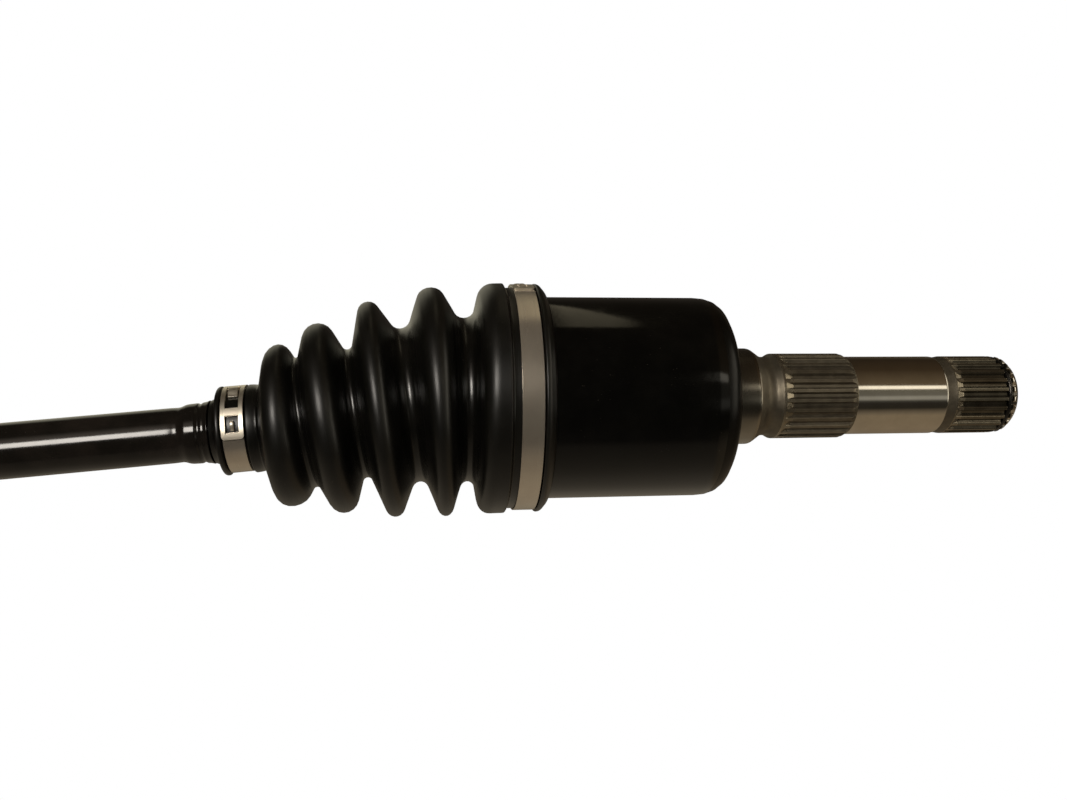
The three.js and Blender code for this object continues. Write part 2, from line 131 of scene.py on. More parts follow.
def new_object(name, verts, faces, uvs, placed, materials, sharp=SHARP):
    """verts are millimetres in the frame called placed; uvs are millimetres, one pair per face corner."""
    mesh = bpy.data.meshes.new(name)
    mesh.from_pydata((np.asarray(verts) * MM).tolist(), [], faces)
    mesh.transform(placed)
    layer = mesh.uv_layers.new(name="millimetres")
    layer.data.foreach_set("uv", np.asarray(uvs, np.float32).ravel())
    mesh.polygons.foreach_set("use_smooth", [True] * len(mesh.polygons))
    mesh.set_sharp_from_angle(angle=math.radians(sharp))
    for material in materials:
        mesh.materials.append(material)
    mesh.update()
    return added(name, mesh)


def wall_faces(rings, arc, run, closed, split):
    """Quads between neighbouring rings, with their uvs and material slots."""
    n, m = len(rings), len(arc) - 1
    faces, uvs, slots = [], [], []
    for i in range(n if closed else n - 1):
        k = (i + 1) % n
        slot = sum(0.5 * (rings[i, 0] + rings[k, 0]) > s for s in split)
        for j in range(m):
            e = (j + 1) % m
            faces.append((i * m + j, i * m + e, k * m + e, k * m + j))
            uvs += [(arc[j], run[i]), (arc[j + 1], run[i]), (arc[j + 1], run[i + 1]), (arc[j], run[i + 1])]
            slots.append(slot)
    return faces, uvs, slots


def cap_faces(rings, arc, run, last_slot):
    """Triangles from the first and last ring to their poles, with their uvs and material slots."""
    n, m = len(rings), len(arc) - 1
    first, last = n * m, n * m + 1
    faces, uvs, slots = [], [], []
    for j in range(m):
        e = (j + 1) % m
        faces.append((first, e, j))
        uvs += [(arc[j], run[0] - rings[0, 1]), (arc[j + 1], run[0]), (arc[j], run[0])]
        slots.append(0)
        faces.append((last, (n - 1) * m + j, (n - 1) * m + e))
        uvs += [(arc[j], run[n - 1] + rings[-1, 1]), (arc[j], run[n - 1]), (arc[j + 1], run[n - 1])]
        slots.append(last_slot)
    return faces, uvs, slots


def turned(name, outline, placed, materials, angles=None, closed=False, shape=None, place=None,
           split=(), sharp=SHARP):
    """A solid of revolution about x. An open outline starts and ends on the axis.

    shape(x, radius, angle) may change the radius, place(points) may move the points, and split is
    the x values where the next material takes over.
    """
    outline = np.asarray(outline, float)
    angles = even_angles(SIDES) if angles is None else angles
    rings = outline if closed else outline[1:-1]
    x = np.repeat(rings[:, 0], len(angles))
    r = np.repeat(rings[:, 1], len(angles))
    theta = np.tile(angles, len(rings))
    if shape:
        r = shape(x, r, theta)
    verts = np.stack([x, r * np.cos(theta), r * np.sin(theta)], axis=1)
    if not closed:
        poles = [(outline[0, 0], 0, 0), (outline[-1, 0], 0, 0)]
        verts = np.vstack([verts, poles])
    if place:
        verts = place(verts)
    arc = np.append(angles, angles[0] + 2 * math.pi) * rings[:, 1].max()
    lengths = np.linalg.norm(np.diff(np.vstack([rings, rings[:1]]), axis=0), axis=1)
    run = np.append(0, np.cumsum(lengths))
    faces, uvs, slots = wall_faces(rings, arc, run, closed, split)
    if not closed:
        caps = cap_faces(rings, arc, run, len(split))
        faces, uvs, slots = faces + caps[0], uvs + caps[1], slots + caps[2]
    obj = new_object(name, verts, faces, uvs, placed, materials, sharp)
    obj.data.polygons.foreach_set("material_index", slots)
    return obj


def sheet_faces(solid, columns, shift):
    """Both sides of each solid cell, and a rim wherever its neighbour isn't solid.

    columns is the number of grid points across, and shift leads from a point to the one below it.
    """
    faces = []

    def metal(i, j):
        return 0 <= i < len(solid) and 0 <= j < len(solid[0]) and solid[i][j]

    for i, row in enumerate(solid):
        for j, cell in enumerate(row):
            if not cell:
                continue
            p = i * columns + j
            q, s, t = p + 1, p + columns + 1, p + columns
            faces.append((p, q, s, t))
            faces.append((p + shift, t + shift, s + shift, q + shift))
            for (u, v), neighbour in (
                ((p, q), (i - 1, j)),
                ((q, s), (i, j + 1)),
                ((s, t), (i + 1, j)),
                ((t, p), (i, j - 1)),
            ):
                if not metal(*neighbour):
                    faces.append((v, u, u + shift, v + shift))
    return faces


def sheet(name, along, across, solid, outer, inner, placed, material):
    """A strip of metal wrapped round x: a grid of cells, some of them cut out, given a thickness.

    along and across are the grid lines (angle, x); solid[i][j] says whether a cell is metal; outer
    and inner turn grids of angle and x into points.
    """
    a, b = np.meshgrid(along, across, indexing="ij")
    top = outer(a, b).reshape(-1, 3)
    low = inner(a, b).reshape(-1, 3)
    verts = np.vstack([top, low])
    flat = np.stack([a.ravel() * np.hypot(top[:, 1], top[:, 2]).max(), b.ravel()], axis=1)
    flat = np.vstack([flat, flat])
    faces = sheet_faces(solid, len(across), a.size)
    used = sorted({v for f in faces for v in f})
    renumber = {v: i for i, v in enumerate(used)}
    uvs = [tuple(flat[v]) for f in faces for v in f]
    faces = [tuple(renumber[v] for v in f) for f in faces]
    return new_object(name, verts[used], faces, uvs, placed, [material])


def bevelled(obj, width):
    bevel = obj.modifiers.new("edges", "BEVEL")
    bevel.width = width * MM
    bevel.segments = 2
    bevel.limit_method = "ANGLE"
    bevel.angle_limit = math.radians(BEVEL_ANGLE)
    bevel.harden_normals = True


def stand_for(pieces, node, body):
    """The pieces ride on the body in place of the CAD node."""
    for piece in pieces:
        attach(piece, body)
        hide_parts(node)


# -------- materials
class Graph:
    """A node tree with short-hands for the nodes that are used most."""

    def __init__(self, tree):
        self.tree = tree

    def node(self, kind, **settings):
        node = self.tree.nodes.new("ShaderNode" + kind)
        for key, value in settings.items():
            setattr(node, key, value)
        return node

    def link(self, source, target):
        self.tree.links.new(source, target)

    def math(self, operation, *values):
        node = self.node("Math", operation=operation)
        for value, socket in zip(values, node.inputs):
            if isinstance(value, (int, float)):
                socket.default_value = value
            else:
                self.link(value, socket)
        return node.outputs[0]

    def times(self, first, second):
        return self.math("MULTIPLY", first, second)

    def remap(self, value, low, high, to_low=0.0, to_high=1.0, curve="LINEAR"):
        node = self.node("MapRange", interpolation_type=curve)
        for key, number in zip(("From Min", "From Max", "To Min", "To Max"), (low, high, to_low, to_high)):
            node.inputs[key].default_value = number
        self.link(value, node.inputs["Value"])
        return node.outputs["Result"]

    def step(self, value, low, high):
        """A smooth step from 0 at low to 1 at high."""
        return self.remap(value, low, high, curve="SMOOTHSTEP")

    def ramp(self, value, stops):
        """A colour that follows (value, colour) stops."""
        low, high = stops[0][0], stops[-1][0]
        node = self.node("ValToRGB")
        elements = node.color_ramp.elements
        while len(elements) < len(stops):
            elements.new(0.5)
        for element, (at, color) in zip(elements, stops):
            element.position = (at - low) / (high - low)
            element.color = (*color, 1)
        self.link(self.remap(value, low, high), node.inputs[0])
        return node.outputs["Color"]

    def mixed(self, factor, first, second, blend="MIX"):
        """Blends two colours, each a socket or three numbers."""
        node = self.node("Mix", data_type="RGBA", blend_type=blend, clamp_factor=False)
        for value, socket in zip((factor, first, second), (node.inputs[0], node.inputs[6], node.inputs[7])):
            if isinstance(value, (int, float)):
                socket.default_value = value
            elif isinstance(value, tuple):
                socket.default_value = (*value, 1)
            else:
                self.link(value, socket)
        return node.outputs[2]


SPECK_SIZE = 0.09  # as a share of their spacing


class Shader(Graph):
    """A principled material made of procedural layers."""

    def __init__(self, name, color, roughness, metallic=0.0, specular=0.5):
        self.material = bpy.data.materials.new(name)
        self.material.use_nodes = True
        super().__init__(self.material.node_tree)
        self.surface = self.tree.nodes["Principled BSDF"]
        self.surface.inputs["Base Color"].default_value = (*color, 1)
        self.surface.inputs["Roughness"].default_value = roughness
        self.surface.inputs["Metallic"].default_value = metallic
        self.surface.inputs["Specular IOR Level"].default_value = specular
        self.height = None

    def coordinates(self, scale, flat=False):
        """Row-frame metres, or a turned piece's own millimetres round and along, times a scale."""
        source = self.node("TexCoord")
        mapping = self.node("Mapping")
        mapping.inputs["Scale"].default_value = scale if isinstance(scale, tuple) else (scale,) * 3
        self.link(source.outputs["UV" if flat else "Object"], mapping.inputs["Vector"])
        return mapping.outputs["Vector"]

    def noise(self, scale, detail=3.0, roughness=0.55, flat=False):
        noise = self.node("TexNoise")
        noise.inputs["Scale"].default_value = 1.0
        noise.inputs["Detail"].default_value = detail
        noise.inputs["Roughness"].default_value = roughness
        self.link(self.coordinates(scale, flat), noise.inputs["Vector"])
        return noise.outputs["Fac"]

    def specks(self, scale):
        """1 on small round specks, 0 elsewhere."""
        cells = self.node("TexVoronoi")
        cells.inputs["Scale"].default_value = 1.0
        self.link(self.coordinates(scale), cells.inputs["Vector"])
        return self.remap(cells.outputs["Distance"], SPECK_SIZE, SPECK_SIZE / 2)

    def pointiness(self):
        """About 0.5 where the surface is flat, more on outward edges and less in hollows."""
        return self.node("NewGeometry").outputs["Pointiness"]

    def dust(self, spread, patchy, grain, color):
        """Pale specks, more in some places than in others."""
        amount = self.remap(self.noise(spread), *patchy)
        self.tint(self.times(self.specks(grain), amount), color)

    def tint(self, factor, color):
        """Mixes a colour into the base colour."""
        base = self.surface.inputs["Base Color"]
        under = base.links[0].from_socket if base.is_linked else tuple(base.default_value)[:3]
        self.link(self.mixed(factor, under, color), base)

    def rough(self, value, low, high, near=0.3, far=0.7):
        self.link(self.remap(value, near, far, low, high), self.surface.inputs["Roughness"])

    def bump(self, value, depth):
        """depth is the height in millimetres between 0 and 1."""
        node = self.node("Bump")
        node.inputs["Strength"].default_value = 1.0
        node.inputs["Distance"].default_value = depth * MM
        self.link(value, node.inputs["Height"])
        if self.height:
            self.link(self.height, node.inputs["Normal"])
        self.height = node.outputs["Normal"]
        self.link(self.height, self.surface.inputs["Normal"])


def paint(name, color, haze, low, high, gloss=0.38):
    """Gloss black paint: orange peel, a little dust and a thin haze."""
    s = Shader(name, color, low, specular=gloss)
    s.tint(s.remap(s.noise(90), 0.4, 0.75), haze)
    s.dust(60, (0.5, 0.65, 0, 0.35), 650, (0.12, 0.105, 0.09))
    s.rough(s.noise(140), low, high)
    s.bump(s.noise(700, detail=1.0), 0.006)
    return s.material


def rubber(name):
    """Moulded rubber: fine grain, slight waviness, smoother in the hollows than on the crests."""
    s = Shader(name, (0.0024, 0.0023, 0.0018), 0.3, specular=0.42)
    s.tint(s.remap(s.noise(70), 0.4, 0.8), (0.006, 0.0055, 0.0044))
    s.dust(45, (0.5, 0.62, 0, 0.4), 500, (0.09, 0.08, 0.07))
    s.rough(s.pointiness(), 0.24, 0.37, near=0.49, far=0.515)
    s.bump(s.noise(120, detail=1.0), 0.05)
    s.bump(s.noise(2600, detail=2.0), 0.010)
    return s.material


def brushed(name, color, dark, low, high, depth, lines_scale=9.0, metallic=1.0):
    """Steel with fine lines round it, from rolling, grinding or turning."""
    s = Shader(name, color, low, metallic=metallic)
    lines = s.noise((0.02, lines_scale, 1), detail=6.0, roughness=0.7, flat=True)
    s.tint(s.remap(s.noise(130, detail=4.0), 0.35, 0.7, 0, 0.6), dark)
    s.tint(s.remap(lines, 0.35, 0.7, 0, 0.35), dark)
    s.rough(lines, low, high)
    s.bump(lines, depth)
    return s.material


def dull_steel(name, color, dark, low, high, edge_wear_and_highlight=1.4):
    """Rolled or hobbed steel under a thin oil film, with painted shade darkening its hollows and a paler colour on
    its edges that is partly wear and partly a painted highlight.
    """
    s = Shader(name, color, low, metallic=0.9)
    s.tint(s.remap(s.noise(260, detail=5.0), 0.35, 0.7, 0, 0.8), dark)
    # painted shade: a darker colour in the hollows, where the grooves lie in shadow
    s.tint(s.remap(s.pointiness(), 0.49, 0.42, 0, 0.75), dark)
    # a paler colour on the convex edges, partly wear and partly a painted highlight
    s.tint(s.remap(s.pointiness(), 0.53, 0.62), tuple(c * edge_wear_and_highlight for c in color))
    s.rough(s.noise(400), low, high)
    s.bump(s.noise(1800), 0.008)
    return s.material


CUP_BLACK = (0.0012, 0.0011, 0.0009)
CUP_HAZE = (0.0028, 0.0026, 0.0021)
BAR_PAINT = paint("bar_paint", (0.0065, 0.0055, 0.0045), (0.014, 0.011, 0.009), 0.09, 0.15)
CUP_PAINT = paint("cup_paint", CUP_BLACK, CUP_HAZE, 0.07, 0.13)
CUP_EDGE_PAINT = paint("cup_edge_paint", CUP_BLACK, CUP_HAZE, 0.28, 0.36, gloss=0.20)
RUBBER = rubber("boot_rubber")
BAND = brushed("band_steel", (0.60, 0.54, 0.45), (0.48, 0.42, 0.35), 0.20, 0.28, lines_scale=3.0,
               depth=0.0012, metallic=0.85)
BAND_TAIL = brushed("band_tail_steel", (0.90, 0.84, 0.72), (0.78, 0.70, 0.57), 0.38, 0.46, lines_scale=3.0,
                    depth=0.0012)
GROUND = brushed("ground_steel", (0.56, 0.53, 0.48), (0.44, 0.41, 0.36), 0.07, 0.13, depth=0.0015)
TURNED_STEEL = brushed("turned_steel", (0.28, 0.26, 0.22), (0.19, 0.17, 0.14), 0.16, 0.26, depth=0.003)
DULL = dull_steel("dull_steel", (0.15, 0.13, 0.097), (0.10, 0.087, 0.065), 0.42, 0.55)
SPLINE = dull_steel("spline_steel", (0.18, 0.157, 0.115), (0.105, 0.09, 0.067), 0.34, 0.46, edge_wear_and_highlight=2.0)
# A paler, smoother copy of the spline steel on the ramps where the grooves run out: its paler colour is a painted
# highlight.
RUN_OUT_HIGHLIGHT = dull_steel("run_out_highlight_steel", (0.27, 0.235, 0.175), (0.15, 0.13, 0.095), 0.20, 0.32)
END_SPLINE = dull_steel("end_spline_steel", (0.13, 0.115, 0.085), (0.06, 0.051, 0.037), 0.13, 0.22,
                        edge_wear_and_highlight=4.0)
SPRING = dull_steel("spring_steel", (0.045, 0.042, 0.038), (0.02, 0.018, 0.016), 0.22, 0.4)
HARD = dull_steel("hard_steel", (0.34, 0.33, 0.31), (0.2, 0.19, 0.18), 0.2, 0.35)
POLISHED = brushed("polished_balls", (0.72, 0.72, 0.73), (0.6, 0.6, 0.6), 0.04, 0.08, depth=0.0004)


# -------- splines
# The teeth of each spline: how many, root and tip radius, and the width of the land on top and of the
# floor between, as shares of the pitch.
LONG_TEETH = dict(teeth=27, root=14.55, tip=15.7, land=0.36, floor=0.36)
END_TEETH = dict(teeth=25, root=13.35, tip=14.6, land=0.32, floor=0.34)
SHAFT_TEETH = dict(teeth=16, root=9.2, tip=9.95, land=0.3, floor=0.3)
HUB_TEETH = dict(teeth=24, root=12.3, tip=13.5, land=0.3, floor=0.14)
TOOTH_EASE = 0.03  # half the width of the round at each edge of a tooth, as a share of the pitch


def spline_angles(teeth, land, floor):
    """Angles that fall on each tooth's land edges and floor edges, with a small round at each."""
    land_edge = land / 2
    floor_edge = 0.5 - floor / 2
    flank = (land + 1 - floor) / 4
    half = [0.0, land_edge - TOOTH_EASE, land_edge + TOOTH_EASE, flank,
            floor_edge - TOOTH_EASE, floor_edge + TOOTH_EASE]
    steps = half + [0.5] + [1 - t for t in reversed(half[1:])]
    return np.array([i + t for i in range(teeth) for t in steps]) * 2 * math.pi / teeth


def spline_shape(teeth, root, tip, land, floor, start, run_out):
    """V grooves from start onwards, with floors that sink from the surface over run_out."""

    def shape(x, r, theta):
        turn = (theta * teeth / (2 * math.pi)) % 1
        from_floor = np.abs(turn - 0.5) * 2
        height = np.clip((from_floor - floor) / (1 - land - floor), 0, 1)
        groove = root + (tip - root) * height
        ramp = tip - (tip - root) * np.clip((x - start) / run_out, 0, 1)
        return np.minimum(r, np.maximum(groove, ramp))

    return shape


def splined(name, outline, placed, materials, form, start, run_out=3.0, split=()):
    """A turned length with teeth of the given form from start onwards."""
    angles = spline_angles(form["teeth"], form["land"], form["floor"])
    shape = spline_shape(**form, start=start, run_out=run_out)
    return turned(name, outline, placed, materials, angles, shape=shape, split=split, sharp=TOOTH_SHARP)


# -------- inner housing and its stub
CUP_RADIUS = 36.0
CUP_BORE = 27.6
CUP_BACK = 43.4
CUP_EDGE_FROM = 37.5  # where the duller paint of the cup's back edge begins
BALL_PITCH = 23.5
BALL_RADIUS = 7.5
BALL_TRACKS = 6
TRACK_RADIUS = BALL_RADIUS + 0.15
TRACKS_FROM = -36
TRACKS_TO = 30.5
STUB_STEP = 0.3  # between the rings of a toothed length


def track_bore(x, r, theta):
    """Cuts the ball tracks into the cup's bore."""
    pitch = 2 * math.pi / BALL_TRACKS
    off = (theta + pitch / 2) % pitch - pitch / 2
    under = np.maximum(TRACK_RADIUS**2 - (BALL_PITCH * np.sin(off)) ** 2, 0)
    reach = np.where(under > 0, BALL_PITCH * np.cos(off) + np.sqrt(under), 0)
    inside = (np.abs(r - CUP_BORE) < 0.01) & (x > TRACKS_FROM) & (x < TRACKS_TO)
    return np.where(inside, np.maximum(r, reach), r)


def build_cup():
    outline = rounded([
        (-35.0, CUP_BORE), (-35.0, 34.6, 0.6), (-34.2, CUP_RADIUS, 0.8), (CUP_BACK, CUP_RADIUS, 9.6),
        (CUP_BACK, 21.6, 1.2), (42.4, 20.6, 0.8), (42.4, 19.0, 0.8), (42.9, 17.0),
        (36.8, 16.0), (36.8, 19.0, 1.0), (31.0, CUP_BORE, 2.0), (30.0, CUP_BORE),
        (-28.6, CUP_BORE), (-29.9, CUP_BORE), (-29.9, 29.4), (-32.1, 29.4),
        (-32.1, CUP_BORE), (-34.0, CUP_BORE),
    ])
    return turned("inner_housing_cup", outline, INNER, [CUP_PAINT, CUP_EDGE_PAINT],
                  even_angles(WIDE_SIDES), closed=True, shape=track_bore, split=(CUP_EDGE_FROM,))


def build_boss():
    outline = rounded([
        (37.2, 0), (37.2, 15.4, 0.5), (42.6, 17.65, 0.4), (55.2, 17.65, 1.0), (59.6, 14.5, 1.6),
        (62.2, 14.5, 0.8), (64.2, 15.68, 0.3), (64.75, 15.68), (64.75, 0),
    ])
    return turned("inner_stub_boss", outline, INNER, [TURNED_STEEL, DULL], split=(55.3,))


def build_long_spline():
    outline = rounded([
        (64.6, 0), (64.6, 15.7), (90.4, 15.7, 0.7), (92.2, 14.62, 0.25), (92.5, 14.5), (92.5, 0),
    ])
    return splined("inner_stub_long_spline", stations(outline, STUB_STEP), INNER, [RUN_OUT_HIGHLIGHT, SPLINE],
                   LONG_TEETH, start=65.2, split=(68.1,))


def build_journal():
    outline = rounded([
        (92.45, 0), (92.45, 14.5), (126.7, 14.5, 0.5), (127.4, 14.1, 0.3), (129.8, 14.35, 0.5),
        (130.6, 14.5, 0.4), (130.75, 14.5), (130.75, 0),
    ])
    return turned("inner_stub_journal", outline, INNER, [GROUND, DULL], split=(126.9,))


def build_end_spline():
    """The toothed end, with the snap ring's groove and a chamfer."""
    outline = rounded([
        (130.6, 0), (130.6, 14.52), (131.4, 14.6, 0.2), (150.5, 14.6, 0.2), (150.55, 12.6),
        (152.75, 12.6), (152.8, 14.4, 0.2), (153.6, 14.2, 0.3), (155.6, 12.4, 0.35), (155.6, 3.2, 0.2),
        (154.0, 2.0), (151.0, 1.6), (150.2, 0),
    ])
    return splined("inner_stub_end_spline", stations(outline, STUB_STEP), INNER,
                   [RUN_OUT_HIGHLIGHT, END_SPLINE, GROUND], END_TEETH, start=130.6, split=(133.5, 153.2))


def build_inner_housing():
    pieces = [build_cup(), build_boss(), build_long_spline(), build_journal(), build_end_spline()]
    stand_for(pieces, "inner_joint_housing", "inner_housing")


def wire_ring(name, x, radius, wire, middle, gap, placed, material):
    """An open ring of round wire, with its gap's middle and width in degrees from +Y towards +Z."""
    half_gap = math.radians(gap) / 2
    angles = math.radians(middle) + np.linspace(half_gap, 2 * math.pi - half_gap, 120)
    section = even_angles(16)
    rings = []
    for k, a in enumerate(angles):
        thin = wire * min(1.0, 0.6 + 0.2 * min(k, len(angles) - 1 - k))  # rounded at both ends
        reach = radius + thin * np.cos(section)
        rings.append(np.stack([x + thin * np.sin(section), reach * np.cos(a), reach * np.sin(a)], axis=1))
    verts = np.vstack(rings + [rings[0].mean(0)[None], rings[-1].mean(0)[None]])
    n, m = len(angles), len(section)
    faces, uvs = [], []
    for i in range(n - 1):
        for j in range(m):
            e = (j + 1) % m
            faces.append((i * m + j, (i + 1) * m + j, (i + 1) * m + e, i * m + e))
            uvs += [(i, j), (i + 1, j), (i + 1, j + 1), (i, j + 1)]
    for j in range(m):
        e = (j + 1) % m
        faces.append((n * m, j, e))
        faces.append((n * m + 1, (n - 1) * m + e, (n - 1) * m + j))
        uvs += [(0, 0)] * 6
    return new_object(name, verts, faces, uvs, placed, [material], 60)


def build_snap_ring():
    ring = wire_ring("stub_snap_ring_wire", x=151.65, radius=13.6, wire=0.8, middle=138, gap=9,
                     placed=INNER, material=SPRING)
    stand_for([ring], "stub_snap_ring", "inner_housing")


# -------- boots
WALL = 2.0
FLARE = 0.7  # how far before the first root the cuff's bore starts to open
FOLD_STEPS = 8  # points on each crest and root


def fold_outline(turns, offset=0.0):
    """Crests and roots as arcs joined by their common tangents, all set in by the offset.

    turns are (x, radius, bend radius, whether it is a crest), from the shaft's side outwards.
    """
    arcs = [(np.array([x, r - bend if crest else r + bend]), bend - offset if crest else bend + offset, crest)
            for x, r, bend, crest in turns]
    leaving = []
    for (start, reach, crest), (end, next_reach, _) in zip(arcs[:-1], arcs[1:]):
        gap = end - start
        tilt = math.acos(min(1.0, (reach + next_reach) / np.linalg.norm(gap)))
        leaving.append(math.atan2(gap[1], gap[0]) + (tilt if crest else -tilt))
    points = []
    for i, (centre, reach, crest) in enumerate(arcs):
        level = math.pi / 2 if crest else -math.pi / 2
        start = level if i == 0 else leaving[i - 1] + math.pi
        end = level if i == len(arcs) - 1 else leaving[i]
        sweep = (start - end if crest else end - start) % (2 * math.pi)
        for angle in np.linspace(start, start - sweep if crest else start + sweep, FOLD_STEPS):
            points.append(centre + reach * np.array([math.cos(angle), math.sin(angle)]))
    return np.array(points)


def bend_boot(bend, low, high, leans):
    """Moves a straight boot so that its small end follows the shaft, and tips its folds over.

    The bend fades out between low and high, and leans are (from x, to x, degrees gained).
    """

    def place(points):
        x, y, z = points.T
        angle = bend * (1 - smooth((x - low) / (high - low)))
        lean = angle + sum(math.radians(gain) * smooth((x - a) / (b - a)) for a, b, gain in leans)
        along = x * np.cos(angle) + z * np.sin(lean)
        up = -x * np.sin(angle) + z * np.cos(lean)
        return np.stack([along, y, up], axis=1)

    return place


CUFF_BORE = 10.0
INNER_CUFF = [
    (-134.8, CUFF_BORE, 0), (-134.8, 10.9, 0.3), (-132.9, 11.6, 0.6), (-132.2, 14.8, 0.7),
    (-131.6, 15.4, 0.6), (-130.6, 15.4, 0.4), (-130.0, 13.9, 0.3), (-122.3, 13.9, 0.3),
    (-121.9, 15.3, 0.5), (-120.2, 15.2, 0.6),
]
INNER_TURNS = [
    (-118.8, 15.0, 1.0, False), (-110.5, 28.2, 5.1, True), (-103.6, 22.8, 1.4, False),
    (-95.0, 33.4, 5.0, True), (-86.0, 22.7, 1.8, False), (-77.4, 38.0, 3.5, True),
    (-67.6, 27.2, 3.2, False), (-57.9, 40.4, 3.9, True), (-48.2, 29.0, 3.2, False),
    (-39.4, 40.8, 4.6, True),
]
INNER_COLLAR = [
    (-35.8, 40.8), (-35.2, 40.8, 0.6), (-34.5, 39.2, 0.4), (-24.5, 39.2, 0.3), (-24.3, 40.7, 0.6),
    (-22.8, 40.5, 0.8), (-20.8, 38.2, 0.8), (-20.2, 36.3),
]
INNER_LINING = [(-38.6, 38.6), (-36.8, 36.3, 0.6), (-20.2, 36.3)]
INNER_BEND = (-116, -30)
INNER_LEANS = [(-114, -101, -4.8), (-70, -40, 6.0), (-40, -34, -1.2)]
BOOT_SPLIT = -52.0
BOOT_STEP = 1.2
BOOT_SHARP = 50
# The inner boot's two meshes: name, from and to x, the two bodies, and where one gives way to the other.
INNER_BOOT_PARTS = [
    ("inner_boot_folds", -200, BOOT_SPLIT, "shaft", "inner_joint_centre", -100.0, -55.5),
    ("inner_boot_collar", BOOT_SPLIT, 0, "inner_joint_centre", "inner_housing", -48.5, -35.5),
]


def folds_between(outline, low, high):
    """The part of an outline between two x values, with exact end points."""
    def at(x):
        for a, b in zip(outline[:-1], outline[1:]):
            if a[0] <= x <= b[0]:
                return np.array([x, a[1] + (b[1] - a[1]) * (x - a[0]) / (b[0] - a[0])])
    inside = [p for p in outline if low < p[0] < high]
    start = [] if low < outline[0][0] else [at(low)]
    end = [] if high > outline[-1][0] else [at(high)]
    return np.array(start + inside + end)


def boot_skin(cuff, turns, collar):
    return np.vstack([rounded(cuff), fold_outline(turns), rounded(collar)])


def boot_lining(cuff, turns, mouth):
    start = cuff[0][0]
    end = turns[0][0] - WALL - FLARE
    return np.vstack([[(start, CUFF_BORE), (end, CUFF_BORE)], fold_outline(turns, WALL), rounded(mouth)])


def boot_piece(name, node, loop, placed, place):
    """A closed loop of rubber turned round, in place of the CAD node."""
    boot = turned(name, stations(loop, BOOT_STEP), placed, [RUBBER], even_angles(WIDE_SIDES),
                  closed=True, place=place, sharp=BOOT_SHARP)
    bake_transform(boot)
    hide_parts(node)


def build_inner_boot():
    """The boot in two pieces that meet in a flank."""
    place = bend_boot(-BEND, *INNER_BEND, INNER_LEANS)
    outside = boot_skin(INNER_CUFF, INNER_TURNS, INNER_COLLAR)
    inside = boot_lining(INNER_CUFF, INNER_TURNS, INNER_LINING)
    for name, low, high, body_a, body_b, start, end in INNER_BOOT_PARTS:
        loop = np.vstack([folds_between(outside, low, high), folds_between(inside, low, high)[::-1]])
        boot_piece(name, "inner_boot", loop, INNER, place)


CUFF_SHIFT = 18.8
OUTER_CUFF = [(x + CUFF_SHIFT, r, reach) for x, r, reach in INNER_CUFF]
OUTER_TURNS = [
    (-100.0, 15.0, 1.0, False), (-92.0, 26.6, 3.6, True), (-85.5, 20.8, 1.6, False),
    (-78.5, 30.6, 3.6, True), (-71.5, 22.8, 1.8, False), (-64.0, 34.2, 3.4, True),
    (-56.5, 25.8, 2.0, False), (-49.0, 37.3, 3.0, True), (-41.5, 28.8, 2.0, False),
    (-34.0, 39.8, 2.6, True), (-27.0, 31.6, 1.8, False), (-20.2, 41.9, 3.4, True),
]
OUTER_COLLAR = [
    (-18.0, 41.9), (-17.5, 41.9, 0.5), (-16.9, 40.2, 0.4), (-7.0, 40.2, 0.3), (-6.8, 41.7, 0.6),
    (-5.3, 41.5, 0.8), (-3.3, 39.2, 0.8), (-2.7, 37.3),
]
OUTER_LINING = [(-19.4, 39.7), (-17.6, 37.3, 0.6), (-2.7, 37.3)]
OUTER_BEND = (-98, -21)
OUTER_LEANS = [(-98, -86, 2.5), (-36, -24, -2.5)]


def build_outer_boot():
    outside = boot_skin(OUTER_CUFF, OUTER_TURNS, OUTER_COLLAR)
    inside = boot_lining(OUTER_CUFF, OUTER_TURNS, OUTER_LINING)
    place = bend_boot(BEND, *OUTER_BEND, OUTER_LEANS)
    boot_piece("outer_boot_folds", "outer_boot", np.vstack([outside, inside[::-1]]), OUTER, place)


# -------- band clamps
def wrap(radius, centre):
    """Turns grids of elevation (0 towards -Y, 90 degrees up) and x into points on a cylinder."""

    def points(elevation, x):
        r = radius(elevation, x) if callable(radius) else radius
        return np.stack([x + centre, -r * np.cos(elevation), r * np.sin(elevation)], axis=-1)

    return points


def grid_lines(start, end, step, extra):
    """Evenly spaced lines from start to end that also pass through the extra values."""
    keep = sorted({start, end, *[e for e in extra if start < e < end]})
    lines = [keep[0]]
    for a, b in zip(keep[:-1], keep[1:]):
        count = max(1, int(round((b - a) / step)))
        lines += [a + (b - a) * k / count for k in range(1, count + 1)]
    return np.array(lines)


BAND_EDGE = 0.09  # bevel along a band's edges
HOOK_EDGE = 0.07
LAYER_GAP = 0.02  # between the band and its outer layer
BAND_STEP = 2.5  # degrees between grid lines along a band
BAND_START = 3  # the band runs from this many degrees past its outer layer's start
BAND_END = 361
BAND_SHARE = 0.96  # of the outer layer's width
WINDOW_LAP = 0.5  # degrees by which the band's windows are shorter at each end
CORNER_SHARE = 0.16  # of the width
HOOK_ROWS = 13
HOOK_COLUMNS = 6
HOOK_CROWN = 0.12
HOOK_DROP = 0.25  # how far its tip turns down
HOOK_LIFT = 0.05  # of its underside above the clamp's seat


def corner_lines(start, reach):
    """Grid lines that follow a band's rounded corner."""
    return [start + reach * (1 - math.cos(t)) for t in np.linspace(0, math.pi / 2, 7)[1:]]


def metal_cells(along, across, windows):
    """Whether each cell is metal, for windows of (low, high, half width)."""
    solid = []
    for a, b in zip(along[:-1], along[1:]):
        middle = math.degrees((a + b) / 2)
        row = []
        for c, d in zip(across[:-1], across[1:]):
            cut = any(low < middle < high and abs((c + d) / 2) < w for low, high, w in windows)
            row.append(not cut)
        solid.append(row)
    return solid


